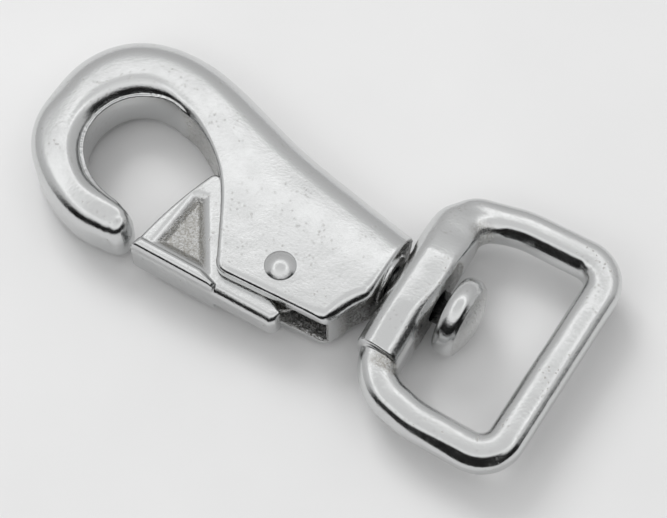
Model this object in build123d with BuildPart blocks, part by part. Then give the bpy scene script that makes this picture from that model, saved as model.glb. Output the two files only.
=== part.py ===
from build123d import *
import math
import os

# Swivel snap hook with a square strap eye, in millimetres.
# X runs along the swivel axis from the hook to the eye, +Z is up, and the gate is on the -Y side.
# The swivel axis is level, and the stud's button head, which is wider than the hook is thick, stands
# on z = 0. The origin is the middle of the footprint.

# Whole object
overall_length = 89.8
thickness = 10.0
head_diameter = 12.2
mid_z = head_diameter / 2
underside_z = mid_z - thickness / 2
hook_end_x = -overall_length / 2
eye_end_x = overall_length / 2

# Hook body
outer_round = 3.6
inner_round = 0.9
tail_x = 14.4
cheek = 2.1
slot_height = thickness - 2 * cheek
hollow_boss_radius = 5.3
hollow_tail_x = 10.7
hollow_bowl_x = -19.7
hollow_open_y = -20.0

# Gate and its rivet
pivot_x = 0.9
pivot_y = -8.0
rivet_diameter = 3.2
rivet_head_diameter = 5.2
rivet_head_height = 0.9
countersink_depth = 0.8
rivet_clearance = 0.05
gate_side_clearance = 0.15
gate_thickness = slot_height - 2 * gate_side_clearance
gate_boss_radius = 4.2
gate_fork_gap = 3.2
gate_fork_radius = 4.6
flange_thickness = 8.2
pocket_depth = 1.5
slot_arc_radius = 19.4

# Gate spring
wire_diameter = 0.7
spring_radius = 2.2
spring_pitch = 0.8
spring_turns = 2.25
spring_body_leg = 4.2
spring_gate_leg = 3.3

# Swivel stud
shank_diameter = 5.0
stud_hole_bottom_x = 5.9
collar_diameter = 8.0
collar_end_x = 14.9
head_back_x = 24.3
head_thickness = 4.8
head_crown = 1.5
head_rim_drop = 1.2

# Strap eye
bar_size = 5.5
bar_round = 2.0
swivel_bar_x = 18.85
swivel_bar_width = 6.7
swivel_bar_height = 9.6
swivel_bar_straight = 8.0
swivel_bar_half_length = 10.2
swivel_bar_taper = 0.9
swivel_bar_round = 2.4
eye_half_width_swivel = 15.0
eye_half_width_middle = 17.2
eye_half_width_strap = 17.4
eye_middle_x = 28.0
swivel_corner_radius = 7.0
back_swivel_corner_radius = 3.4
middle_corner_radius = 14.0
strap_corner_radius = 4.2
strap_bar_skew = 0.7
bore_clearance = 0.05

os.makedirs("parts", exist_ok=True)

pivot_plane = Plane((pivot_x, pivot_y, underside_z))
stud_plane = Plane(origin=(0, 0, mid_z), x_dir=(1, 0, 0), z_dir=(0, -1, 0))


def on_pivot_circle(radius, degrees):
    """The point at this radius and angle about the gate's pivot."""
    angle = math.radians(degrees)
    return (pivot_x + radius * math.cos(angle), pivot_y + radius * math.sin(angle))


def cap_radius(width, height):
    """The sphere radius of a dome with this width and height."""
    return ((width / 2) ** 2 + height**2) / (2 * height)


# Outline of the hook body, from the tail's top corner round the bowl and back to the tail.
tail_top = (tail_x, 7.1)
spine_and_ring = [
    tail_top,
    (1.8, 9.6),
    (-8.3, 12.0),
    (-17.3, 15.0),
    (-29.7, 17.3),
    (-39.0, 14.4),
    (-44.1, 7.2),
    (hook_end_x + 0.1, 0.0),
    (-42.4, -8.4),
    (-35.0, -14.5),
    (-28.0, -16.4),
    (-23.6, -16.3),
]
nose_end = [(-23.6, -16.3), (-21.3, -14.2), (-22.3, -11.6)]
bowl = [
    (-22.3, -11.6),
    (-26.9, -10.9),
    (-32.5, -8.6),
    (-36.1, -3.8),
    (-36.0, 2.0),
    (-33.0, 6.2),
    (-28.5, 7.7),
    (-22.6, 6.2),
    (-15.5, 1.4),
    (-10.0, -7.2),
    (-7.9, -11.2),
]
cheek_corner = [(-7.9, -11.2), (-7.1, -12.4), (-5.6, -12.9)]
cheek_edge_end = (10.3, -12.2)
shoulder = [(11.9, -10.2), (13.5, -6.8), (tail_x, -5.0)]

with BuildPart() as hook_body:
    with BuildSketch(Plane.XY.offset(underside_z)):
        with BuildLine():
            Spline(*spine_and_ring, tangents=[(-1, 0.2), (1, -0.1)])
            ThreePointArc(*nose_end)
            Spline(*bowl, tangents=[(-1, 0.25), (0.45, -0.9)])
            ThreePointArc(*cheek_corner)
            Line(cheek_corner[-1], cheek_edge_end)
            Spline(cheek_edge_end, *shoulder, tangents=[(1, 0.3), (0, 1)])
            Line(shoulder[-1], tail_top)
        make_face()
    extrude(amount=thickness)
    flat_edges = hook_body.edges().filter_by(Plane.XY)
    outer_edges = flat_edges.filter_by(lambda edge: edge.length > 100)
    bowl_edges = flat_edges.filter_by(lambda edge: 50 < edge.length < 100)
    fillet(outer_edges, radius=outer_round)
    fillet(bowl_edges, radius=inner_round)
    # Hollow between the cheeks, open to the bowl and along the gate side
    with BuildSketch(Plane.XY.offset(underside_z + cheek)):
        with BuildLine():
            hollow_arc = ThreePointArc(
                on_pivot_circle(slot_arc_radius, 158),
                on_pivot_circle(slot_arc_radius, 141),
                on_pivot_circle(slot_arc_radius, 124),
            )
            Polyline(
                hollow_arc @ 1,
                on_pivot_circle(hollow_boss_radius, 80),
                (hollow_tail_x, -4.6),
                (hollow_tail_x, hollow_open_y),
                (hollow_bowl_x, hollow_open_y),
                (hollow_bowl_x, -4.0),
                hollow_arc @ 0,
            )
        make_face()
    extrude(amount=slot_height, mode=Mode.SUBTRACT)
    # Rivet hole with a countersink underneath
    with BuildSketch(pivot_plane):
        Circle(rivet_diameter / 2)
    extrude(amount=thickness, mode=Mode.SUBTRACT)
    with BuildSketch(pivot_plane):
        Circle(rivet_head_diameter / 2)
    sink_angle = math.degrees(math.atan2((rivet_head_diameter - rivet_diameter) / 2, countersink_depth))
    extrude(amount=countersink_depth, taper=sink_angle, mode=Mode.SUBTRACT)
    # Collar on the tail and the blind hole for the stud
    with BuildSketch(Plane.YZ.offset(tail_x)):
        with Locations((0, mid_z)):
            Circle(collar_diameter / 2)
    extrude(amount=collar_end_x - tail_x)
    with BuildSketch(Plane.YZ.offset(stud_hole_bottom_x)):
        with Locations((0, mid_z)):
            Circle(shank_diameter / 2)
    extrude(amount=collar_end_x - stud_hole_bottom_x, mode=Mode.SUBTRACT)

# Gate: its outline between the cheeks, and the thicker thumb flange in front of them.
gate_tip = (-20.0, -15.6)
gate_apex = (-16.3, 0.0)
with BuildPart() as gate:
    with BuildSketch(Plane.XY.offset(mid_z - gate_thickness / 2)):
        with BuildLine():
            closing_edge = ThreePointArc(gate_tip, (-18.7, -7.9), gate_apex)
            apex_round = ThreePointArc(gate_apex, (-15.6, 0.9), (-14.4, 0.9))
            boss_round = ThreePointArc(
                on_pivot_circle(gate_boss_radius, 85),
                on_pivot_circle(gate_boss_radius, 0),
                on_pivot_circle(gate_boss_radius, -80),
            )
            Line(apex_round @ 1, boss_round @ 0)
            Polyline(boss_round @ 1, (4.2, -13.4), (4.2, -14.9), (3.4, -15.6), gate_tip)
        make_face()
    extrude(amount=gate_thickness)
    with BuildSketch(Plane.XY.offset(mid_z - flange_thickness / 2)):
        with BuildLine():
            Polyline((-8.9, -13.6), (-19.5, -13.6), gate_tip, (-6.1, -15.6), (-6.1, -14.6), close=True)
        make_face()
    extrude(amount=flange_thickness)
    # Triangular pocket in each face
    for face_z, depth in (
        (mid_z + gate_thickness / 2, -pocket_depth),
        (mid_z - gate_thickness / 2, pocket_depth),
    ):
        with BuildSketch(Plane.XY.offset(face_z)):
            with BuildLine():
                Polyline((-17.2, -12.9), (-16.4, -4.1), (-14.9, -3.6), (-8.9, -12.9), close=True)
            make_face()
        extrude(amount=depth, mode=Mode.SUBTRACT)
    # Gap between the knuckles for the spring, and the rivet's bore
    with BuildSketch(pivot_plane.offset((thickness - gate_fork_gap) / 2)):
        Circle(gate_fork_radius)
    extrude(amount=gate_fork_gap, mode=Mode.SUBTRACT)
    with BuildSketch(pivot_plane):
        Circle(rivet_diameter / 2 + rivet_clearance)
    extrude(amount=thickness, mode=Mode.SUBTRACT)

# Rivet: domed head on top, shank, and a flush upset end in the countersink.
with BuildPart() as pivot_rivet:
    with BuildSketch(Plane(origin=(pivot_x, pivot_y, underside_z), x_dir=(1, 0, 0), z_dir=(0, -1, 0))):
        with BuildLine():
            Polyline(
                (0, 0),
                (rivet_head_diameter / 2, 0),
                (rivet_diameter / 2, countersink_depth),
                (rivet_diameter / 2, thickness),
                (rivet_head_diameter / 2, thickness),
            )
            RadiusArc(
                (rivet_head_diameter / 2, thickness),
                (0, thickness + rivet_head_height),
                -cap_radius(rivet_head_diameter, rivet_head_height),
            )
            Line((0, thickness + rivet_head_height), (0, 0))
        make_face()
    revolve(axis=Axis((pivot_x, pivot_y, 0), (0, 0, 1)))

# Gate spring: coils round the rivet, one leg on the hollow's wall and one towards the gate.
with BuildPart() as gate_spring:
    coil_height = spring_pitch * spring_turns
    with BuildLine():
        coil = Helix(
            pitch=spring_pitch,
            height=coil_height,
            radius=spring_radius,
            center=(pivot_x, pivot_y, mid_z - coil_height / 2),
            lefthand=True,
        )
    with BuildSketch(Plane(origin=coil @ 0, z_dir=coil % 0)):
        Circle(wire_diameter / 2)
    sweep(path=coil, is_frenet=True)
    with BuildSketch(Plane(origin=coil @ 0, z_dir=-(coil % 0))):
        Circle(wire_diameter / 2)
    extrude(amount=spring_body_leg)
    with BuildSketch(Plane(origin=coil @ 1, z_dir=coil % 1)):
        Circle(wire_diameter / 2)
    extrude(amount=spring_gate_leg)

# Swivel stud: shank in the tail, and a button head beyond the eye's thick bar.
with BuildPart() as swivel_stud:
    with BuildSketch(stud_plane):
        with BuildLine():
            head_front_x = head_back_x + head_thickness
            Polyline(
                (head_front_x, 0),
                (stud_hole_bottom_x, 0),
                (stud_hole_bottom_x, shank_diameter / 2),
                (head_back_x, shank_diameter / 2),
                (head_back_x, head_diameter / 2 - head_rim_drop),
            )
            ThreePointArc(
                (head_back_x, head_diameter / 2 - head_rim_drop),
                (head_back_x + (head_thickness - head_crown) / 2, head_diameter / 2),
                (head_front_x - head_crown, head_diameter / 2 - head_rim_drop),
            )
            RadiusArc(
                (head_front_x - head_crown, head_diameter / 2 - head_rim_drop),
                (head_front_x, 0),
                cap_radius(head_diameter - 2 * head_rim_drop, head_crown),
            )
        make_face()
    revolve(axis=Axis((0, 0, mid_z), (1, 0, 0)))

# Strap eye: round bar bent to a trapezoid, with the thick swivel bar across its narrow end.
strap_bar_x = eye_end_x - bar_size / 2 - strap_bar_skew
with BuildPart() as eye_frame:
    with BuildLine(Plane.XY.offset(mid_z)):
        ring = FilletPolyline(
            (swivel_bar_x, eye_half_width_swivel),
            (eye_middle_x, eye_half_width_middle),
            (strap_bar_x + strap_bar_skew, eye_half_width_strap),
            (strap_bar_x - strap_bar_skew, -eye_half_width_strap),
            (eye_middle_x, -eye_half_width_middle),
            (swivel_bar_x, -eye_half_width_swivel),
            radius=[
                back_swivel_corner_radius,
                middle_corner_radius,
                strap_corner_radius,
                strap_corner_radius,
                middle_corner_radius,
                swivel_corner_radius,
            ],
            close=True,
        )
    with BuildSketch(Plane(origin=ring @ 0, z_dir=ring % 0)):
        RectangleRounded(bar_size, bar_size, bar_round)
    sweep(path=ring)

with BuildPart() as swivel_bar:
    bar_left_x = swivel_bar_x - swivel_bar_width / 2
    bar_right_x = swivel_bar_x + swivel_bar_width / 2
    with BuildSketch(Plane.XY.offset(mid_z - swivel_bar_height / 2)):
        with BuildLine():
            Polyline(
                (bar_left_x, swivel_bar_straight),
                (bar_left_x, -swivel_bar_straight),
                (bar_left_x + swivel_bar_taper, -swivel_bar_half_length),
                (bar_right_x - swivel_bar_taper, -swivel_bar_half_length),
                (bar_right_x, -swivel_bar_straight),
                (bar_right_x, swivel_bar_straight),
                (bar_right_x - swivel_bar_taper, swivel_bar_half_length),
                (bar_left_x + swivel_bar_taper, swivel_bar_half_length),
                close=True,
            )
        make_face()
    extrude(amount=swivel_bar_height)
    fillet(swivel_bar.edges().filter_by(Plane.XY), radius=swivel_bar_round)

with BuildPart() as strap_eye:
    add(eye_frame.part)
    add(swivel_bar.part)
    with BuildSketch(Plane.YZ):
        with Locations((0, mid_z)):
            Circle(shank_diameter / 2 + bore_clearance)
    extrude(amount=head_back_x, mode=Mode.SUBTRACT)

hook_body.part.label = "hook_body"
gate.part.label = "gate"
pivot_rivet.part.label = "pivot_rivet"
gate_spring.part.label = "gate_spring"
swivel_stud.part.label = "swivel_stud"
strap_eye.part.label = "strap_eye"

export_step(hook_body.part, "parts/hook_body.step")
export_step(gate.part, "parts/gate.step")
export_step(pivot_rivet.part, "parts/pivot_rivet.step")
export_step(gate_spring.part, "parts/gate_spring.step")
export_step(swivel_stud.part, "parts/swivel_stud.step")
export_step(strap_eye.part, "parts/strap_eye.step")
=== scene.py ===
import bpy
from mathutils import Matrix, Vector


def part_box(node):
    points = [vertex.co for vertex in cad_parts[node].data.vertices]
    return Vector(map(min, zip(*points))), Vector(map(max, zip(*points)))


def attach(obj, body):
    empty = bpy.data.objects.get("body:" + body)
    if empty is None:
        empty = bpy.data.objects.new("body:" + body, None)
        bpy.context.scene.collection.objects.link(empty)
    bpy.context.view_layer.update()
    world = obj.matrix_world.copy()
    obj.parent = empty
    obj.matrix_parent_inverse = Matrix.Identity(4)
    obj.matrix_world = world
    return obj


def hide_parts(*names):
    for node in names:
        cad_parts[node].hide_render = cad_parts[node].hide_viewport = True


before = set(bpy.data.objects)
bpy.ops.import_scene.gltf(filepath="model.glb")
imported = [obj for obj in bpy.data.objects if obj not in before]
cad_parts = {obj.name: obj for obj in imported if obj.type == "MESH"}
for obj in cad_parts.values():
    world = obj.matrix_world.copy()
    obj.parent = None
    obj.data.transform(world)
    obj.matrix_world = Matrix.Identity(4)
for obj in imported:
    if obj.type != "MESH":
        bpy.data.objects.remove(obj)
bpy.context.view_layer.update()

import math

import bpy
import numpy as np
from mathutils import Vector

# Every length below is in millimetres, and MM turns it into the metres that the frame is in.
MM = 0.001


def cad_box_mm(node):
    """The lowest and highest corner of a CAD node, in millimetres."""
    low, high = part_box(node)
    return np.array(low) / MM, np.array(high) / MM


hook_low, hook_high = cad_box_mm("hook_body")
gate_low, gate_high = cad_box_mm("gate")
rivet_low, rivet_high = cad_box_mm("pivot_rivet")
stud_low, stud_high = cad_box_mm("swivel_stud")
eye_low, eye_high = cad_box_mm("strap_eye")

# Half heights of the pieces about the middle plane, which holds the swivel axis
middle_z = (stud_low[2] + stud_high[2]) / 2
hook_half = (hook_high[2] - hook_low[2]) / 2
slot_half = 2.9
gate_web_half = 2.75
gate_flange_half = (gate_high[2] - gate_low[2]) / 2
fork_half = 1.6

# The gate's rivet and the stud, with their holes
rivet_x = (rivet_low[0] + rivet_high[0]) / 2
rivet_y = (rivet_low[1] + rivet_high[1]) / 2
rivet_head_radius = (rivet_high[0] - rivet_low[0]) / 2
rivet_radius = 1.6
rivet_hole_radius = 1.65
countersink_radius = 2.6
countersink_slope = 1.25
stud_radius = 2.5
stud_bore_radius = 2.55
stud_hole_bottom_x = 5.9
collar_radius = 4.0
collar_root_x = 6.0
hook_tail_x = hook_high[0] - 0.5

# Fineness of the casting meshes and of the drawn outlines
mesh_step = 0.2
line_step = 0.3


# ---------------------------------------------------------------- plan outlines

def curve_through(points, start_way, end_way):
    """A smooth curve through the points that leaves and arrives in the given ways."""
    points = np.array(points, float)
    spans = np.linalg.norm(np.diff(points, axis=0), axis=1)
    count = len(points)
    rows = np.zeros((count, count))
    slopes = np.zeros((count, 2))
    rows[0, 0] = rows[-1, -1] = 1
    slopes[0] = np.array(start_way) / np.linalg.norm(start_way)
    slopes[-1] = np.array(end_way) / np.linalg.norm(end_way)
    for i in range(1, count - 1):
        before, after = spans[i - 1], spans[i]
        rows[i, i - 1:i + 2] = after, 2 * (before + after), before
        slopes[i] = 3 * (
            after * (points[i] - points[i - 1]) / before + before * (points[i + 1] - points[i]) / after
        )
    slopes = np.linalg.solve(rows, slopes)
    drawn = []
    for i, span in enumerate(spans):
        t = np.linspace(0, 1, max(2, int(span / line_step)), endpoint=False)[:, None]
        drawn.append(
            (2 * t**3 - 3 * t**2 + 1) * points[i]
            + (t**3 - 2 * t**2 + t) * span * slopes[i]
            + (3 * t**2 - 2 * t**3) * points[i + 1]
            + (t**3 - t**2) * span * slopes[i + 1]
        )
    return np.vstack(drawn + [points[-1:]])


def arc_through(start, middle, end):
    """A round arc from start to end by way of middle."""
    start, middle, end = (np.array(p, float) for p in (start, middle, end))
    rows = 2 * np.array([middle - start, end - start])
    centre = np.linalg.solve(rows, [middle @ middle - start @ start, end @ end - start @ start])
    angles = [math.atan2(*(p - centre)[::-1]) for p in (start, middle, end)]
    sweep = (angles[2] - angles[0]) % (2 * math.pi)
    if (angles[1] - angles[0]) % (2 * math.pi) > sweep:
        sweep -= 2 * math.pi
    radius = np.linalg.norm(start - centre)
    t = angles[0] + np.linspace(0, sweep, max(3, int(abs(sweep) * radius / line_step)))
    return centre + radius * np.stack([np.cos(t), np.sin(t)], 1)


def rounded_corners(corners, radii):
    """A closed line through the corners, each rounded to its own radius."""
    drawn = []
    corners = np.array(corners, float)
    for i, corner in enumerate(corners):
        back = corners[i - 1] - corner
        ahead = corners[(i + 1) % len(corners)] - corner
        back /= np.linalg.norm(back)
        ahead /= np.linalg.norm(ahead)
        half = math.acos(float(back @ ahead)) / 2
        reach = radii[i] / math.tan(half)
        bisector = (back + ahead) / np.linalg.norm(back + ahead)
        nearest = corner + bisector * (radii[i] / math.sin(half) - radii[i])
        drawn.append(arc_through(corner + back * reach, nearest, corner + ahead * reach))
    return np.vstack(drawn + [drawn[0][:1]])


def on_pivot_circle(radius, degrees):
    """The point at this radius and angle about the gate's pivot."""
    angle = math.radians(degrees)
    return (rivet_x + radius * math.cos(angle), rivet_y + radius * math.sin(angle))


def distance_to_line(x, y, line):
    """How far each point is from the drawn line."""
    nearest = None
    for (ax, ay), (bx, by) in zip(line[:-1], line[1:]):
        ex, ey = bx - ax, by - ay
        t = np.clip(((x - ax) * ex + (y - ay) * ey) / max(ex * ex + ey * ey, 1e-9), 0, 1)
        gap = (x - ax - t * ex) ** 2 + (y - ay - t * ey) ** 2
        nearest = gap if nearest is None else np.minimum(nearest, gap)
    return np.sqrt(nearest)


def side_of_loop(x, y, loop):
    """-1 inside the closed loop and +1 outside it."""
    inside = np.zeros(np.broadcast(x, y).shape, bool)
    for (ax, ay), (bx, by) in zip(loop, np.roll(loop, -1, axis=0)):
        if ay != by:
            inside ^= ((ay > y) != (by > y)) & (x < (bx - ax) * (y - ay) / (by - ay) + ax)
    return np.where(inside, -1.0, 1.0)


def distance_to_shape(x, y, loop):
    """The distance to a closed loop, negative inside it."""
    closed = np.vstack([loop, loop[:1]])
    return side_of_loop(x, y, loop) * distance_to_line(x, y, closed)


# ---------------------------------------------------------------- joining forms

def ramp(value, start, end):
    """A smooth rise from 0 at start to 1 at end."""
    t = np.clip((value - start) / (end - start), 0, 1)
    return t * t * (3 - 2 * t)


def rounded_edge(side, top, across, down):
    """Where a side and a top meet in an edge rounded by this much across and down."""
    u = np.maximum(side / across + 1, 0)
    v = np.maximum(top / down + 1, 0)
    both = (np.sqrt(u * u + v * v) - 1) * np.minimum(across, down)
    return np.where((u > 0) & (v > 0), both, np.maximum(side, top))


def melt_together(a, b, radius):
    """Two forms joined with a fillet in the corner between them."""
    mix = np.clip(0.5 + 0.5 * (b - a) / radius, 0, 1)
    return b + (a - b) * mix - radius * mix * (1 - mix)


def cut_away(body, cutter, radius):
    """A form with another cut out of it, leaving an edge that is rounded a little."""
    return -melt_together(-body, cutter, radius)


def lumps(x, y, z, size, seed):
    """Smooth random unevenness between -1 and 1, with lumps of the given size."""
    table = np.random.default_rng(seed).uniform(-1, 1, (32, 32, 32))
    total = 0.0
    cells = [np.floor(axis / size).astype(int) for axis in (x, y, z)]
    parts = [axis / size - cell for axis, cell in zip((x, y, z), cells)]
    parts = [t * t * (3 - 2 * t) for t in parts]
    for corner in range(8):
        bits = [corner & 1, corner >> 1 & 1, corner >> 2 & 1]
        weight = 1.0
        for bit, t in zip(bits, parts):
            weight = weight * (t if bit else 1 - t)
        where = tuple((cell + bit) % 32 for cell, bit in zip(cells, bits))
        total = total + weight * table[where]
    return total


# ---------------------------------------------------------------- meshes from forms

def net_over(values, low, step):
    """A quad mesh laid over the surface where the sampled values change sign."""
    inside = values < 0
    cells = np.array(values.shape) - 1
    place = np.zeros(tuple(cells) + (3,))
    crossings = np.zeros(cells)

    def part(array, offset):
        return array[tuple(slice(o, o + n) for o, n in zip(offset, cells))]

    for axis in range(3):
        others = [a for a in range(3) if a != axis]
        for first in (0, 1):
            for second in (0, 1):
                start = [0, 0, 0]
                start[others[0]], start[others[1]] = first, second
                end = list(start)
                end[axis] = 1
                a, b = part(values, start), part(values, end)
                cut = (a < 0) != (b < 0)
                t = np.where(cut, a / np.where(cut, a - b, 1), 0)
                crossings += cut
                for k in range(3):
                    place[..., k] += cut * (t if k == axis else start[k])
    active = crossings > 0
    number = np.full(cells, -1)
    number[active] = np.arange(active.sum())
    points = np.argwhere(active) + place[active] / crossings[active][:, None]
    points = np.array(low) + points * step
    quads = []
    for axis in range(3):
        u, v = (axis + 1) % 3, (axis + 2) % 3
        before = np.take(inside, range(values.shape[axis] - 1), axis)
        after = np.take(inside, range(1, values.shape[axis]), axis)
        for leaving in (True, False):
            at = np.argwhere((before & ~after) if leaving else (~before & after))
            at = at[(at[:, u] > 0) & (at[:, v] > 0) & (at[:, u] < cells[u]) & (at[:, v] < cells[v])]
            corner = []
            for du, dv in ((0, 0), (1, 0), (1, 1), (0, 1)):
                cell = at.copy()
                cell[:, u] -= du
                cell[:, v] -= dv
                corner.append(number[tuple(cell.T)])
            ring = np.stack(corner if leaving else corner[::-1], 1)
            quads.append(ring)
    return points, np.vstack(quads)


def slopes_of(form, points, reach=0.02):
    """The form's value at each point and the direction in which it grows."""
    x, y, z = points.T
    value = form(x, y, z)
    slope = np.stack([
        form(x + reach, y, z) - value,
        form(x, y + reach, z) - value,
        form(x, y, z + reach) - value,
    ], 1) / reach
    return value, slope


def even_out(points, quads, rounds):
    """Relaxes the net without shrinking it."""
    pairs = np.vstack([quads[:, [0, 1]], quads[:, [1, 2]], quads[:, [2, 3]], quads[:, [3, 0]]])
    pairs = np.unique(np.sort(pairs, 1), axis=0)
    ends = np.concatenate([pairs[:, 0], pairs[:, 1]])
    others = np.concatenate([pairs[:, 1], pairs[:, 0]])
    share = np.bincount(ends, minlength=len(points)).astype(float)
    for turn in range(2 * rounds):
        pull = 0.5 if turn % 2 == 0 else -0.52
        middle = np.stack([
            np.bincount(ends, weights=points[others, k], minlength=len(points)) / share for k in range(3)
        ], 1)
        points = points + pull * (middle - points)
    return points


def cast_piece(name, form, low, high, as_cast, waviness=0.02, grit=0.05):
    """A casting's mesh from its form. as_cast gives, from 0 to 1, how rough each point was left."""
    low = np.array(low) - 3 * mesh_step
    high = np.array(high) + 3 * mesh_step
    sizes = np.ceil((high - low) / mesh_step).astype(int) + 1
    x, y, z = (low[k] + mesh_step * np.arange(sizes[k]) for k in range(3))
    x, y, z = x[:, None, None], y[None, :, None], z[None, None, :]
    values = form(x, y, z) + 0 * (x + y + z)
    points, quads = net_over(values, low, mesh_step)
    value, slope = slopes_of(form, points)
    size = np.maximum((slope**2).sum(1), 0.05)
    move = -(value / size)[:, None] * slope
    points = points + np.clip(move, -mesh_step, mesh_step)
    points = even_out(points, quads, 3)
    out = slope / np.sqrt(size)[:, None]
    x, y, z = points.T
    rough = np.clip(as_cast(x, y, z, out), 0, 1)
    wave = lumps(x, y, z, 4.1, 3) + 0.5 * lumps(x, y, z, 1.9, 4)
    grains = lumps(x, y, z, 0.62, 5) + 0.8 * lumps(x, y, z, 0.36, 6)
    push = waviness * wave * (1 - 0.5 * rough) + grit * rough * grains
    points = points + push[:, None] * out
    return mesh_object(name, points, quads.tolist(), {"as_cast": rough})


def mesh_object(name, points, faces, values=None):
    """A smooth-shaded mesh object from points in millimetres, with its values kept at each point."""
    mesh = bpy.data.meshes.new(name)
    mesh.from_pydata((np.asarray(points) * MM).tolist(), [], faces)
    mesh.polygons.foreach_set("use_smooth", [True] * len(mesh.polygons))
    for key, value in (values or {}).items():
        layer = mesh.attributes.new(key, "FLOAT", "POINT")
        layer.data.foreach_set("value", np.asarray(value, np.float32))
    mesh.update()
    piece = bpy.data.objects.new(name, mesh)
    bpy.context.scene.collection.objects.link(piece)
    return piece


def turned_piece(profile, centre, along, around=128):
    """A piece turned about an axis: the profile holds (along the axis, radius) points."""
    along = Vector(along).normalized()
    side = along.orthogonal().normalized()
    up = along.cross(side)
    profile = np.asarray(profile, float)
    angle = np.arange(around) * 2 * math.pi / around
    ring = np.cos(angle)[:, None] * np.array(side) + np.sin(angle)[:, None] * np.array(up)
    inner = profile[1:-1]
    points = (
        np.array(centre)
        + inner[:, None, :1] * np.array(along)
        + inner[:, None, 1:] * ring[None, :, :]
    ).reshape(-1, 3)
    first = np.array(centre) + profile[0, 0] * np.array(along)
    last = np.array(centre) + profile[-1, 0] * np.array(along)
    points = np.vstack([points, first, last])
    faces = []
    nexts = (np.arange(around) + 1) % around
    for row in range(len(inner) - 1):
        a, b = row * around, (row + 1) * around
        faces += np.stack([a + np.arange(around), a + nexts, b + nexts, b + np.arange(around)], 1).tolist()
    end = (len(inner) - 1) * around
    faces += [[len(points) - 2, nexts[k], k] for k in range(around)]
    faces += [[len(points) - 1, end + k, end + nexts[k]] for k in range(around)]
    return points, faces


# ---------------------------------------------------------------- hook body

tail_top = (hook_tail_x, 7.1)
spine_and_ring = curve_through(
    [
        tail_top,
        (1.8, 9.6),
        (-8.3, 12.0),
        (-17.3, 15.0),
        (-29.7, 17.3),
        (-39.0, 14.4),
        (-44.1, 7.2),
        (-44.8, 0.0),
        (-42.4, -8.4),
        (-35.0, -14.5),
        (-28.0, -16.4),
        (-23.6, -16.3),
    ],
    (-1, 0.2),
    (1, -0.1),
)
nose_end = arc_through((-23.6, -16.3), (-21.3, -14.2), (-22.3, -11.6))
bowl_rim = curve_through(
    [
        (-22.3, -11.6),
        (-26.9, -10.9),
        (-32.5, -8.6),
        (-36.1, -3.8),
        (-36.0, 2.0),
        (-33.0, 6.2),
        (-28.5, 7.7),
        (-22.6, 6.2),
        (-15.5, 1.4),
        (-10.0, -7.2),
        (-7.9, -11.2),
    ],
    (-1, 0.25),
    (0.45, -0.9),
)
cheek_edge = np.vstack([arc_through((-7.9, -11.2), (-7.1, -12.4), (-5.6, -12.9)), [(10.3, -12.2)]])
shoulder = curve_through(
    [(10.3, -12.2), (11.9, -10.2), (13.5, -6.8), (hook_tail_x, -5.0)], (1, 0.3), (0, 1)
)
tail_edge = np.array([(hook_tail_x, -5.0), tail_top])
hook_outline = np.vstack([
    part[:-1] for part in (spine_and_ring, nose_end, bowl_rim, cheek_edge, shoulder, tail_edge)
])
slot_arc_radius = 19.4
slot_outline = np.vstack([
    arc_through(*(on_pivot_circle(slot_arc_radius, degrees) for degrees in (158, 141, 124))),
    [on_pivot_circle(5.3, 80), (10.7, -4.6), (10.7, -20), (-19.7, -20), (-19.7, -4.0)],
])

# How far each stretch of edge is rounded across the top and down the side
edge_rounding = (
    (spine_and_ring, 0.6, 0.6),
    (nose_end, 3.0, 4.4),
    (bowl_rim, 0.8, 0.7),
    (cheek_edge, 1.1, 0.9),
    (shoulder, 2.4, 1.9),
    (tail_edge, 1.2, 1.5),
)

# The top rolls into the bowl with this radius, and the wall of the bowl swells by this much
roll = 3.3
swell_at_rim = 0.2
swell_in_middle = 0.55
# The ring and the spine fall away to the outside over this breadth, and end in a round
crown_breadth = 6.8
crown_fall = 0.95
crown_power = 2.2
crown_reach = 4.6
crown_depth = 4.2
ground_reach = 2.4
ground_depth = 2.0
spine_from_y = 3.5


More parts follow.
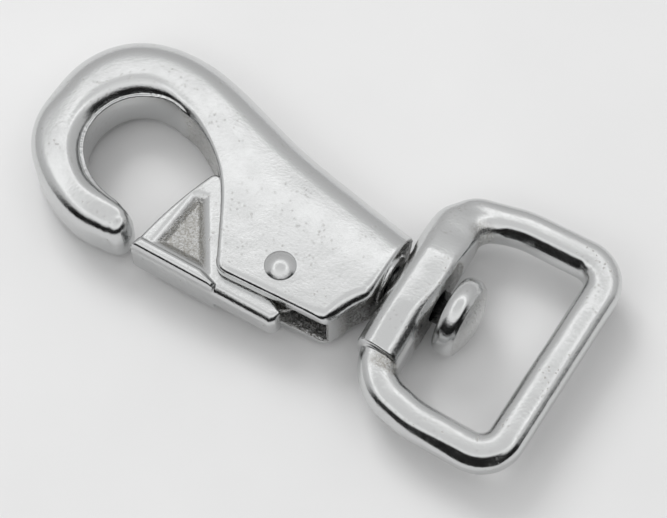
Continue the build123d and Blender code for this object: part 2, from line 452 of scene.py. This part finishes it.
def hook_form(x, y, z):
    """The hook casting: bowl, nose, spine, two cheeks and the tail boss."""
    side = None
    weights = across = down = 0.0
    for line, line_across, line_down in edge_rounding:
        gap = distance_to_line(x, y, line)
        side = gap if side is None else np.minimum(side, gap)
        # The nose's full round reaches further along the casting than the other edges do
        weight = (1.6 if line is nose_end else 1) / (gap + 0.8) ** 3
        weights = weights + weight
        across = across + weight * line_across
        down = down + weight * line_down
        if line is bowl_rim:
            from_bowl = gap
            bowl_weight = weight
        if line is nose_end:
            nose_weight = weight
        if line is spine_and_ring:
            from_spine = gap
    side = side * side_of_loop(x, y, hook_outline)
    across, down = across / weights, down / weights
    height = np.abs(z - middle_z)
    # The bowl's wall swells a little towards the parting line
    bowl_share = bowl_weight / weights * ramp(-x, 22, 26)
    side = side - bowl_share * (swell_at_rim + swell_in_middle * (1 - (height / hook_half) ** 2))
    # The top rolls over into the bowl, broadly round the ring and hardly at all along the cheeks
    steepest = np.radians(64 - 28 * ramp(x, -33, -26) - 28 * ramp(x, -24, -14))
    into_bowl = np.minimum(np.maximum(roll * np.sin(steepest) - from_bowl, 0), 0.95 * roll)
    into_bowl = roll - np.sqrt(roll**2 - into_bowl**2)
    rim = rounded_edge(side, height - (hook_half - into_bowl), across, down)
    # The ring and the spine fall away slowly to the outside and end in a full round. The round is
    # tighter on the gate's side of the ring, where it was ground.
    body_share = ramp(x, -26, -9)
    on_ring = np.maximum(1 - from_spine / crown_breadth, 0)
    up_spine = np.maximum(y + spine_from_y, 0)
    on_spine = up_spine / (up_spine + from_spine + 0.01)
    fall = crown_fall * (on_ring * (1 - body_share) + on_spine * body_share) ** 2
    ground = ramp(-y, -3, 6) * (1 - body_share)
    reach = crown_reach - ground_reach * ground
    depth = crown_depth - ground_depth * ground
    u = np.maximum(1 - from_spine / reach, 0)
    v = np.maximum((height - (hook_half - fall - depth)) / depth, 0)
    crown = ((u**crown_power + v**crown_power) ** (1 / crown_power) - 1) * reach
    body = -melt_together(-rim, -crown, 0.3 + 1.3 * nose_weight / weights)
    from_axis = np.hypot(y, z - middle_z)
    collar = np.maximum(np.maximum(from_axis - collar_radius, x - hook_high[0]), collar_root_x - x)
    body = melt_together(body, collar, 0.4)
    slot = rounded_edge(distance_to_shape(x, y, slot_outline), height - slot_half, 0.5, 0.5)
    body = cut_away(body, slot, 0.35)
    stud_hole = np.maximum(from_axis - stud_radius, stud_hole_bottom_x - x)
    from_rivet = np.hypot(x - rivet_x, y - rivet_y)
    rivet_hole = from_rivet - rivet_radius
    countersink = from_rivet - countersink_radius + countersink_slope * (z - hook_low[2])
    return np.maximum(body, -np.minimum(np.minimum(stud_hole, rivet_hole), countersink))


def hook_as_cast(x, y, z, out):
    """Tumbling and polishing never reach the bowl's wall, the slot and the tail's end wall. The slot's wall
    and the end wall are marked in full, which also paints shade on them in the finish.
    """
    wall = ramp(-np.abs(out[:, 2]), -0.35, -0.15)
    bowl_wall = wall * ramp(-distance_to_line(x, y, bowl_rim), -0.7, -0.3)
    height = np.abs(z - middle_z)
    slot_wall = (distance_to_shape(x, y, slot_outline) < 0.35) & (height < slot_half + 0.15)
    end_wall = wall * ramp(x, 11.5, 12.6) * ramp(-height, -4.6, -3.9)
    return np.maximum(np.maximum(0.55 * bowl_wall, slot_wall), end_wall)


# ---------------------------------------------------------------- gate

gate_tip = (-20.0, -15.6)
gate_boss_radius = 4.2
gate_outline = np.vstack([
    arc_through(gate_tip, (-18.7, -7.9), (-16.3, 0.0)),
    arc_through((-16.3, 0.0), (-15.6, 0.9), (-14.4, 0.9)),
    arc_through(*(on_pivot_circle(gate_boss_radius, degrees) for degrees in (85, 0, -80))),
    [(4.2, -13.4), (4.2, -14.9), (3.4, -15.6)],
])
flange_outline = np.array([(-19.5, -13.6), gate_tip, (-6.1, -15.6), (-6.1, -14.6), (-8.9, -13.6)])
pocket_outline = np.array([(-17.6, -13.2), (-16.7, -3.4), (-14.8, -2.9), (-8.2, -13.2)])
pocket_depth = 1.2
pocket_draft = 1.1
fork_radius = 4.6


def gate_form(x, y, z):
    """The gate casting: a web with a pocket in each face, a boss on the rivet and a thumb flange."""
    height = np.abs(z - middle_z)
    thumb_edge = 0.45 + 1.0 * ramp(-y, 13.4, 15.0)
    web = rounded_edge(distance_to_shape(x, y, gate_outline), height - gate_web_half, thumb_edge, thumb_edge)
    flange = rounded_edge(distance_to_shape(x, y, flange_outline), height - gate_flange_half, 0.8, 1.1)
    body = melt_together(web, flange, 0.25)
    depth = gate_web_half - height
    pocket = distance_to_shape(x, y, pocket_outline) + pocket_draft * np.maximum(depth, 0)
    body = cut_away(body, np.maximum(pocket, depth - pocket_depth), 0.7)
    from_rivet = np.hypot(x - rivet_x, y - rivet_y)
    body = cut_away(body, np.maximum(from_rivet - fork_radius, height - fork_half), 0.2)
    return np.maximum(body, rivet_hole_radius - from_rivet)


def gate_as_cast(x, y, z, out):
    """The pocket keeps the grain of the mould, and the fork round the rivet some of it."""
    depth = gate_web_half - np.abs(z - middle_z)
    in_pocket = ramp(-distance_to_shape(x, y, pocket_outline), -0.1, 0.9)
    from_rivet = np.hypot(x - rivet_x, y - rivet_y)
    return np.maximum(0.8 * in_pocket * ramp(depth, 0.1, 0.6), 0.6 * ramp(-from_rivet, -5.0, -4.4))


# ---------------------------------------------------------------- strap eye

# Half thickness of the bar, and how far the strap bar stands out of square
bar_half = 2.75
bar_power = 2.7
skew = 0.7
swivel_bar_x = (eye_low[0] + 22.2) / 2
strap_bar_x = eye_high[0] - bar_half - 0.55
eye_middle_line = rounded_corners(
    [
        (swivel_bar_x, 15.0),
        (28.0, 17.2),
        (strap_bar_x + skew, 17.4),
        (strap_bar_x - skew, -17.4),
        (28.0, -17.2),
        (swivel_bar_x, -15.0),
    ],
    [3.4, 14.0, 4.2, 4.2, 14.0, 7.0],
)

# The flats ground on the side bars: how far out they are cut, and the way they face across and up
back_bar_flat = 2.8
gate_bar_flat = 3.08
flat_across = 0.73
flat_up = 0.68
no_flat = 0.4

# Section of the swivel bar, and where its two ends are
block_half_height = 4.8
block_half_width = 3.35
block_head_side = 3.7
block_step_y = -11.5
block_back_y = 13.0
bore_end_x = 24.0


def squarish(across, up, power):
    """A section between a circle and a square, from distances that are 1 at its sides."""
    return (across**power + up**power) ** (1 / power) - 1


def eye_form(x, y, z):
    """The eye casting: a squarish bar bent to a frame, and the thick swivel bar at its narrow end."""
    height = np.abs(z - middle_z)
    from_middle = distance_to_line(x, y, eye_middle_line)
    bar = squarish(from_middle / bar_half, height / bar_half, bar_power) * bar_half
    # A narrow flat is ground along the gate's side of both side bars
    flat_reach = np.where(
        y > 0,
        back_bar_flat + no_flat * (ramp(-x, -26.0, -24.0) + ramp(x, 37.2, 38.6)),
        gate_bar_flat - 0.3 * ramp(x, 24, 37) + no_flat * ramp(x, 41.0, 43.5),
    )
    gate_side = np.where(y > 0, -1, 1) * side_of_loop(x, y, eye_middle_line)
    flat = flat_across * gate_side * from_middle + flat_up * height - flat_reach
    flat = np.where((np.abs(y) > 12) & (flat < 3), flat, -1.0)
    bar = -melt_together(-bar, -flat, 0.2)
    # The swivel bar is crowned. It ends in a crisp step on the gate's side, and sinks into the
    # frame on the other side.
    off_middle = x - swivel_bar_x
    crown = 0.35 * (off_middle / block_half_width) ** 2
    block_half = block_half_height - 1.9 * ramp(y, 5, 13) - crown - 1.0 * ramp(-y, 3, 12)
    corner = 1.1 + 1.6 * ramp(-y, -2, 5) * ramp(z, middle_z - 1, middle_z + 1)
    corner = np.where(off_middle > 0, corner, 2.4)
    block_side = np.where(off_middle > 0, block_head_side, block_half_width)
    block = rounded_edge(np.abs(off_middle) - block_side, height - block_half, corner, corner)
    past_step = block_step_y - 0.05 * off_middle - y
    block = -melt_together(-block, -past_step, 0.5)
    block = -melt_together(-block, block_back_y - y, 2.5)
    body = melt_together(bar, block, 0.5 + 2.6 * ramp(y, 2, 9))
    from_axis = np.hypot(y, z - middle_z)
    return np.maximum(body, -np.maximum(from_axis - stud_bore_radius, x - bore_end_x))


def eye_as_cast(x, y, z, out):
    """The faces round the stud, the step and the corner behind the swivel bar stay rough. The faces round
    the stud are marked in full, which also paints shade on them in the finish, for the gaps between the bar,
    the button and the tail.
    """
    at_swivel = ramp(-x, -23, -22.8)
    faces = ramp(np.abs(out[:, 0]), 0.8, 0.95) * ramp(-np.hypot(y, z - middle_z), -7.3, -6.9)
    corner = 0.5 * ramp(-np.hypot(x - 23.0, y - 12.3), -2.6, -0.9)
    step = 0.8 * ramp(-np.abs(y + 12.6), -1.4, -0.6) * ramp(x, 18.0, 20.0)
    return np.maximum(faces * at_swivel, np.maximum(corner, step * at_swivel))


# ---------------------------------------------------------------- finishes

def linear(hex_colour):
    """An sRGB hex colour as the linear RGBA that shaders take."""
    parts = [int(hex_colour[i:i + 2], 16) / 255 for i in (1, 3, 5)]
    return [c / 12.92 if c <= 0.04045 else ((c + 0.055) / 1.055) ** 2.4 for c in parts] + [1]


def add_node(tree, kind, settings=None, inputs=None):
    """Adds a node, sets its settings, and links or fills its inputs."""
    node = tree.nodes.new(kind)
    for key, value in (settings or {}).items():
        setattr(node, key, value)
    for key, value in (inputs or {}).items():
        if isinstance(value, bpy.types.NodeSocket):
            tree.links.new(value, node.inputs[key])
        else:
            node.inputs[key].default_value = value
    return node


def new_material(name):
    """An empty node material and its node tree."""
    material = bpy.data.materials.new(name)
    material.use_nodes = True
    material.node_tree.nodes.clear()
    return material, material.node_tree


def per_metre(size_mm):
    """The scale that gives a pattern this size, in millimetres."""
    return 1 / (size_mm * MM)


def tumbled_metal(name, bright_hex, stain_hex, gap_shade_hex="#4E4A45"):
    """A satin mirror with the fine grain of tumbling and a few scattered pits, and a dull warm grey
    grit wherever the piece is marked as left as cast. Where that mark is near full, the colour is darkened
    further to a painted shade for the slot and the gaps where shade falls."""
    material, tree = new_material(name)
    place = add_node(tree, "ShaderNodeTexCoord").outputs["Object"]
    rough = add_node(tree, "ShaderNodeAttribute", {"attribute_name": "as_cast"}).outputs["Fac"]
    # Tumbling marks, a little under half a millimetre apart
    grain_node = add_node(
        tree, "ShaderNodeTexNoise", {},
        {"Vector": place, "Scale": per_metre(0.45), "Detail": 5, "Roughness": 0.65},
    )
    grain = grain_node.outputs["Fac"]
    # Grit of the moulding sand
    grit = add_node(
        tree, "ShaderNodeTexNoise", {},
        {"Vector": place, "Scale": per_metre(0.3), "Detail": 3, "Roughness": 0.7},
    ).outputs["Fac"]
    # Clouding of the plating over areas some millimetres wide
    cloud = add_node(
        tree, "ShaderNodeTexNoise", {},
        {"Vector": place, "Scale": per_metre(5), "Detail": 4, "Roughness": 0.6},
    ).outputs["Fac"]
    # Pits, a quarter of a millimetre wide, ragged, and gathered in patches
    ragged = add_node(
        tree, "ShaderNodeVectorMath", {"operation": "MULTIPLY_ADD"},
        {0: grain_node.outputs["Color"], 1: (0.5 * MM,) * 3, 2: place},
    ).outputs["Vector"]
    pits = add_node(
        tree, "ShaderNodeTexVoronoi", {"feature": "F1"},
        {"Vector": ragged, "Scale": per_metre(0.75), "Randomness": 1},
    )
    pit_shape = add_node(
        tree, "ShaderNodeMapRange", {"interpolation_type": "SMOOTHSTEP"},
        {"Value": pits.outputs["Distance"], "From Min": 0.08, "From Max": 0.34, "To Min": 1, "To Max": 0},
    ).outputs["Result"]
    pit_patch = add_node(
        tree, "ShaderNodeMapRange", {},
        {"Value": cloud, "From Min": 0.48, "From Max": 0.68, "To Min": 0, "To Max": 0.42},
    ).outputs["Result"]
    pitted = add_node(
        tree, "ShaderNodeMath", {"operation": "MULTIPLY"}, {0: pit_shape, 1: pit_patch}
    ).outputs["Value"]
    stained = add_node(
        tree, "ShaderNodeMapRange", {},
        {"Value": grit, "From Min": 0.42, "From Max": 0.6, "To Min": 0.15, "To Max": 0.9},
    ).outputs["Result"]
    dull = add_node(
        tree, "ShaderNodeMath", {"operation": "MULTIPLY"}, {0: stained, 1: rough}
    ).outputs["Value"]
    darkened = add_node(
        tree, "ShaderNodeMath", {"operation": "MAXIMUM"}, {0: dull, 1: pitted}
    ).outputs["Value"]
    # Painted shade: where the mark is near full, in the slot and on the faces between the tail and the eye,
    # the colour is darkened for the shade that falls in these gaps
    painted_gap_shade = add_node(
        tree, "ShaderNodeMapRange", {},
        {"Value": rough, "From Min": 0.82, "From Max": 1.0, "To Min": 0, "To Max": 0.85},
    ).outputs["Result"]
    stain_and_gap_shade = add_node(
        tree, "ShaderNodeMix", {"data_type": "RGBA"}, {0: painted_gap_shade, 6: linear(stain_hex), 7: linear(gap_shade_hex)}
    ).outputs[2]
    colour = add_node(
        tree, "ShaderNodeMix", {"data_type": "RGBA"}, {0: darkened, 6: linear(bright_hex), 7: stain_and_gap_shade}
    )
    satin = add_node(
        tree, "ShaderNodeMapRange", {},
        {"Value": cloud, "From Min": 0.35, "From Max": 0.7, "To Min": 0.12, "To Max": 0.24},
    ).outputs["Result"]
    roughness = add_node(
        tree, "ShaderNodeMath", {"operation": "MULTIPLY_ADD"}, {0: darkened, 1: 0.3, 2: satin}
    ).outputs["Value"]
    height = add_node(
        tree, "ShaderNodeMath", {"operation": "MULTIPLY_ADD"}, {0: pitted, 1: -2.0, 2: grain}
    ).outputs["Value"]
    polished = add_node(
        tree, "ShaderNodeBump", {}, {"Height": height, "Strength": 0.6, "Distance": 0.04 * MM}
    ).outputs["Normal"]
    rough_strength = add_node(
        tree, "ShaderNodeMath", {"operation": "MULTIPLY"}, {0: rough, 1: 0.9}
    ).outputs["Value"]
    normal = add_node(
        tree, "ShaderNodeBump", {},
        {"Height": grit, "Strength": rough_strength, "Distance": 0.15 * MM, "Normal": polished},
    ).outputs["Normal"]
    metal = add_node(
        tree, "ShaderNodeBsdfPrincipled", {},
        {"Base Color": colour.outputs[2], "Metallic": 1.0, "Roughness": roughness, "Normal": normal},
    )
    add_node(tree, "ShaderNodeOutputMaterial", {}, {"Surface": metal.outputs["BSDF"]})
    return material


def pale_paper(name):
    """Matt white background paper."""
    material, tree = new_material(name)
    place = add_node(tree, "ShaderNodeTexCoord").outputs["Object"]
    fibre = add_node(tree, "ShaderNodeTexNoise", {}, {"Vector": place, "Scale": per_metre(25), "Detail": 3})
    tone = add_node(
        tree, "ShaderNodeMapRange", {},
        {"Value": fibre.outputs["Fac"], "From Min": 0.3, "From Max": 0.7, "To Min": 0.755, "To Max": 0.775},
    )
    paper = add_node(
        tree, "ShaderNodeBsdfPrincipled", {}, {"Base Color": tone.outputs["Result"], "Roughness": 0.9}
    )
    add_node(tree, "ShaderNodeOutputMaterial", {}, {"Surface": paper.outputs["BSDF"]})
    return material


# ---------------------------------------------------------------- the pieces

rivet_dome = rivet_high[2] - hook_high[2]
rivet_dome_radius = 0.9 * rivet_head_radius
rivet_points = [
    (hook_high[2] + rivet_dome * (1 - t**2.2), rivet_dome_radius * t) for t in np.linspace(0, 1, 24)
]
rivet_points += [
    (hook_high[2] - 0.1, rivet_dome_radius),
    (hook_high[2] - 0.1, rivet_radius),
    (hook_low[2] + 0.8, rivet_radius),
    (hook_low[2] + 0.1, rivet_head_radius - 0.1),
    (hook_low[2], rivet_head_radius - 0.3),
    (hook_low[2], 0),
]

# The stud's button head has a barrel-shaped rim, a crisp ridge and a slightly domed face
head_radius = (stud_high[2] - stud_low[2]) / 2
head_back_x = 24.3
ridge_x = 27.6
ridge_radius = 5.5
rim_bulge = 1.3
rim_middle_x = (head_back_x + ridge_x) / 2
stud_points = [
    (stud_low[0], 0),
    (stud_low[0], stud_radius - 0.1),
    (stud_low[0] + 0.1, stud_radius),
    (head_back_x, stud_radius),
    (head_back_x, head_radius - rim_bulge - 0.2),
    (head_back_x + 0.05, head_radius - rim_bulge - 0.1),
]
stud_points += [
    (
        rim_middle_x - (ridge_x - head_back_x) / 2 * math.cos(t),
        head_radius - rim_bulge + rim_bulge * math.sin(t) ** 0.8,
    )
    for t in np.linspace(0.08, math.pi * 0.8, 26)
]
stud_points += [(ridge_x - 0.04, ridge_radius), (ridge_x + 0.05, ridge_radius - 0.06)]
stud_points += [
    (ridge_x + (stud_high[0] - ridge_x) * (1 - (r / ridge_radius) ** 2), r)
    for r in np.linspace(ridge_radius - 0.2, 0, 14)
]

# Malleable iron, sand cast, tumbled and nickel plated: soft mirror on the outside, grit in the hollows, and
# painted shade in the slot and the gaps round the tail and the eye
casting_finish = tumbled_metal("nickel_plated_casting", "#D6D7D7", "#9E998F")
# Turned steel under the same plating: a cleaner mirror, with a dull front on the button
fastener_finish = tumbled_metal("nickel_plated_steel", "#D6D7D7", "#8C8881")
# Drawn spring wire, left bare: a dark grey glint deep in the slot
spring_finish = tumbled_metal("spring_steel_wire", "#8E8C88", "#4A4743")

hook_piece = cast_piece("hook_casting", hook_form, hook_low, hook_high, hook_as_cast)
gate_piece = cast_piece("gate_casting", gate_form, gate_low, gate_high, gate_as_cast, waviness=0.015)
eye_piece = cast_piece("eye_casting", eye_form, eye_low, eye_high, eye_as_cast, waviness=0.03)

rivet_piece = mesh_object("rivet", *turned_piece(rivet_points, (rivet_x, rivet_y, 0), (0, 0, 1)))
stud_surface, stud_faces = turned_piece(stud_points, (0, 0, middle_z), (1, 0, 0))
# The front of the button is left duller than its rim
stud_piece = mesh_object(
    "button_stud", stud_surface, stud_faces, {"as_cast": 0.4 * (stud_surface[:, 0] > ridge_x)}
)

for piece, node, body, slot in (
    (hook_piece, "hook_body", "hook", "plated_casting"),
    (gate_piece, "gate", "gate", "plated_casting"),
    (eye_piece, "strap_eye", "eye", "plated_casting"),
    (rivet_piece, "pivot_rivet", "hook", "plated_fasteners"),
    (stud_piece, "swivel_stud", "hook", "plated_fasteners"),
):
    piece.data.materials.append(casting_finish if slot == "plated_casting" else fastener_finish)
    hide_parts(node)
    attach(piece, body)

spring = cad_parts["gate_spring"]
spring.data.materials.clear()
spring.data.materials.append(spring_finish)


# ---------------------------------------------------------------- floor, light and camera

# The hook lies on its button head and on the underside of its ring, so it tips by about a degree.
ring_rest_x = -41.0
head_rest_x = 26.7
floor_half = 900.0
tip = (hook_low[2] - stud_low[2]) / (ring_rest_x - head_rest_x)
floor = mesh_object(
    "floor",
    [
        (sx * floor_half, sy * floor_half, stud_low[2] + tip * (sx * floor_half - head_rest_x))
        for sx, sy in ((-1, -1), (1, -1), (1, 1), (-1, 1))
    ],
    [(0, 1, 2, 3)],
)
floor.data.materials.append(pale_paper("background_paper"))

view_azimuth = math.radians(30.5)
view_elevation = math.radians(64.0)
to_camera = Vector((
    math.cos(view_elevation) * math.sin(view_azimuth),
    -math.cos(view_elevation) * math.cos(view_azimuth),
    math.sin(view_elevation),
))


def soft_light(name, direction, distance, size, power):
    """A square softbox that looks at the middle of the hook and isn't mirrored in the metal."""
    light = bpy.data.lights.new(name, "AREA")
    light.shape = "SQUARE"
    light.size = size
    light.energy = power
    lamp = bpy.data.objects.new(name, light)
    bpy.context.scene.collection.objects.link(lamp)
    lamp.location = Vector(direction).normalized() * distance
    lamp.rotation_euler = (-Vector(direction)).to_track_quat("-Z", "Y").to_euler()
    lamp.visible_glossy = False


soft_light("softbox_left", (-0.8, 0.5, 1.0), 1.1, 0.5, 5.0)
soft_light("softbox_front", (-0.3, -1.0, 0.8), 1.2, 0.8, 2.5)

# A white tent all round, brightest high behind the hook and dark low down in front of it
tent_strength = 2.0
world = bpy.data.worlds.new("light_tent")
bpy.context.scene.world = world
world.use_nodes = True
tree = world.node_tree
tree.nodes.clear()
way = add_node(tree, "ShaderNodeTexCoord").outputs["Generated"]
height = add_node(tree, "ShaderNodeSeparateXYZ", {}, {"Vector": way}).outputs["Z"]
facing = add_node(
    tree, "ShaderNodeVectorMath", {"operation": "DOT_PRODUCT"},
    {0: way, 1: (math.sin(view_azimuth), -math.cos(view_azimuth), 0)},
).outputs["Value"]
# Brightness at each height, from the floor at 0 to straight up at 1
tent_brightness = {
    "back": (
        (0.0, 0.55), (0.35, 0.57), (0.6, 0.63), (0.8, 0.76),
        (0.835, 1.5), (0.874, 1.5), (0.899, 0.78), (1.0, 0.8),
    ),
    "front": ((0.0, 0.012), (0.58, 0.012), (0.66, 0.8), (0.8, 1.05), (1.0, 0.85)),
}
tent_sides = {}
for tent_side, stops in tent_brightness.items():
    curve = add_node(tree, "ShaderNodeValToRGB", {}, {"Fac": height})
    for place, strength in stops:
        if place in (0.0, 1.0):
            stop = curve.color_ramp.elements[-int(place)]
        else:
            stop = curve.color_ramp.elements.new(place)
        stop.color = (strength / tent_strength,) * 3 + (1,)
    tent_sides[tent_side] = curve.outputs["Color"]
in_front = add_node(
    tree, "ShaderNodeMapRange", {"interpolation_type": "SMOOTHSTEP"},
    {"Value": facing, "From Min": 0.0, "From Max": 0.3, "To Min": 0, "To Max": 1},
).outputs["Result"]
brightness = add_node(
    tree, "ShaderNodeMix", {"data_type": "RGBA"},
    {0: in_front, 6: tent_sides["back"], 7: tent_sides["front"]},
).outputs[2]
tent = add_node(tree, "ShaderNodeBackground", {}, {"Color": brightness, "Strength": tent_strength})
add_node(tree, "ShaderNodeOutputWorld", {}, {"Surface": tent.outputs["Background"]})

camera_data = bpy.data.cameras.new("camera")
camera_data.sensor_width = 36.0
camera_data.lens = 107.95
camera = bpy.data.objects.new("camera", camera_data)
bpy.context.scene.collection.objects.link(camera)
camera.location = Vector((70.687, -111.483, 268.590)) * MM
camera.rotation_euler = (-to_camera).to_track_quat("-Z", "Y").to_euler()
bpy.context.scene.camera = camera
bpy.context.scene.view_settings.view_transform = "Standard"
